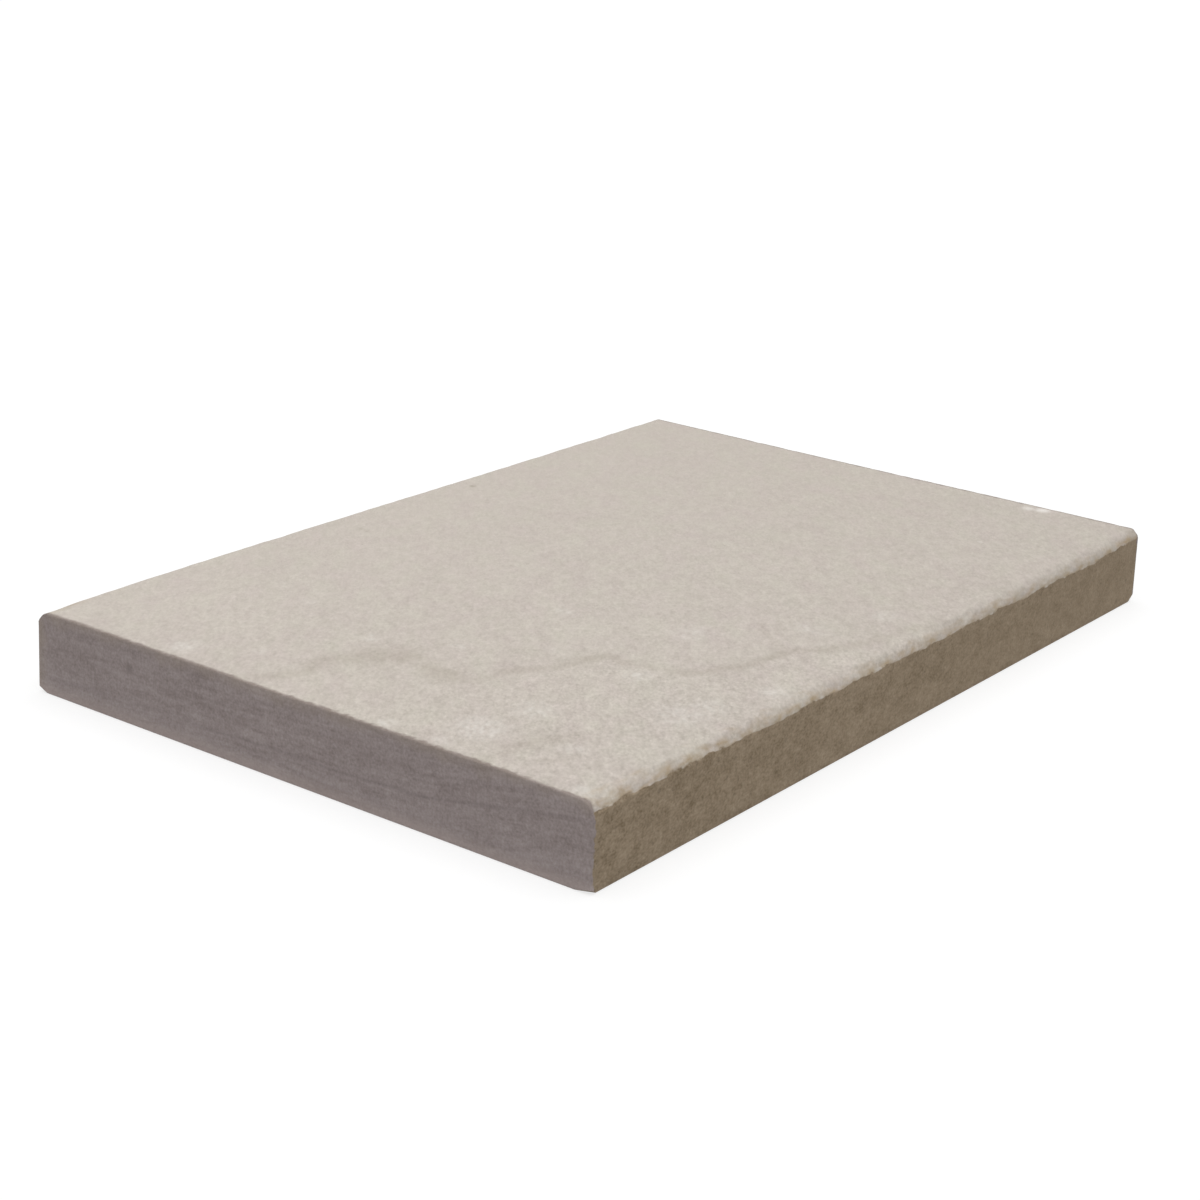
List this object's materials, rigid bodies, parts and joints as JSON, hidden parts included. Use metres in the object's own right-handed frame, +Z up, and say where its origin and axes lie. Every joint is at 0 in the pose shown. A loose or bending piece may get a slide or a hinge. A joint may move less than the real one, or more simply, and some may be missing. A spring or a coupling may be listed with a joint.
{
  "type": "wall coping stone",
  "caption": "Flat slab of buff-grey sandstone that caps a wall and sheds rain: riven top, sawn sides and ends, long top edges rolled over.",
  "frame": {"origin": "middle of the flat bed face, on which the stone lies", "axes": "+X along the length of the wall, +Y across the wall, +Z up through the riven top"},
  "size_m": [0.6, 0.4, 0.05],
  "materials": {
    "sandstone": "riven top, sawn sides, matt"
  },
  "bodies": {
    "root": {"coping_stone": "sandstone"}
  },
  "joints": []
}
